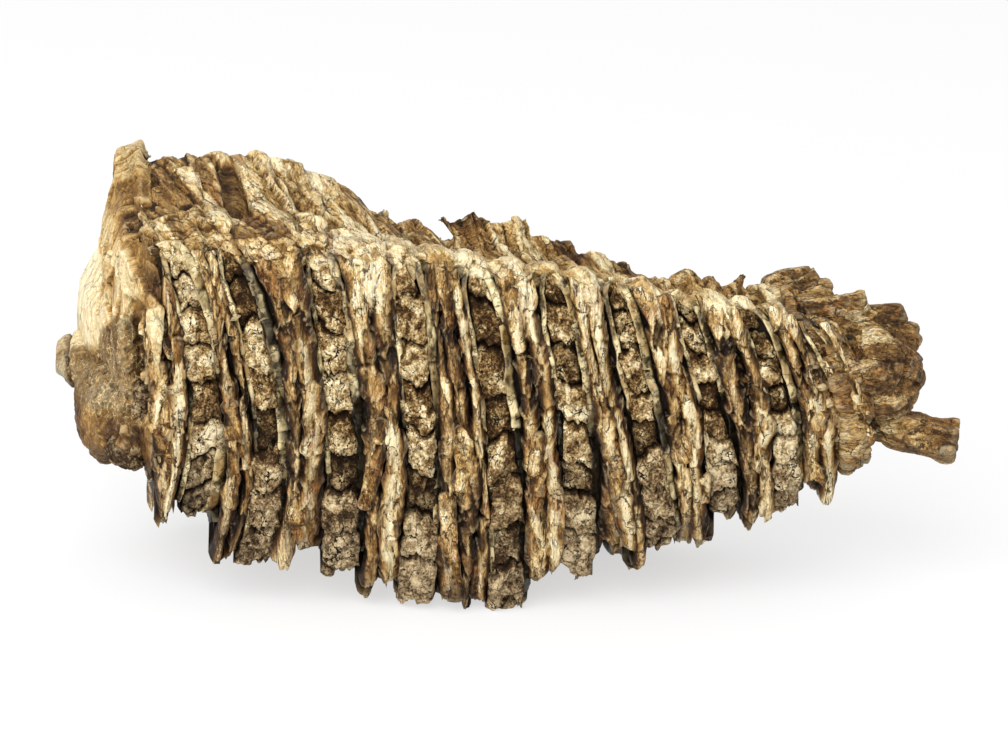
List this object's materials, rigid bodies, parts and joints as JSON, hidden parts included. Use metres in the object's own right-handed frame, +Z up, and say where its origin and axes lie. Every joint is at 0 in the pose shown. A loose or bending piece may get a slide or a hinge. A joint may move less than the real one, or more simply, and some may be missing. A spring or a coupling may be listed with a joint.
{
  "type": "fossil mammoth tooth",
  "caption": "Fossil mammoth molar standing on its worn crown tips, root base up, with upright dentine plates, enamel bands and cement columns along both flanks.",
  "frame": {"origin": "centre of the tooth's box in X and Y, on the surface it stands on", "axes": "+X along the tooth towards its narrow end, -Y out of the cheek flank that faces the viewer, +Z up from the worn tips to the root base"},
  "size_m": [0.2442, 0.0732, 0.1129],
  "materials": {
    "dentine": "dry fibrous fossil dentine, tan and cream with ochre and brown stains",
    "enamel": "glossy grey-olive enamel in narrow bands beside the cement",
    "cement": "rough granular brown and pinkish-grey cement, cracked into blocks"
  },
  "bodies": {
    "root": {"mammoth_tooth": "dentine"}
  },
  "joints": []
}
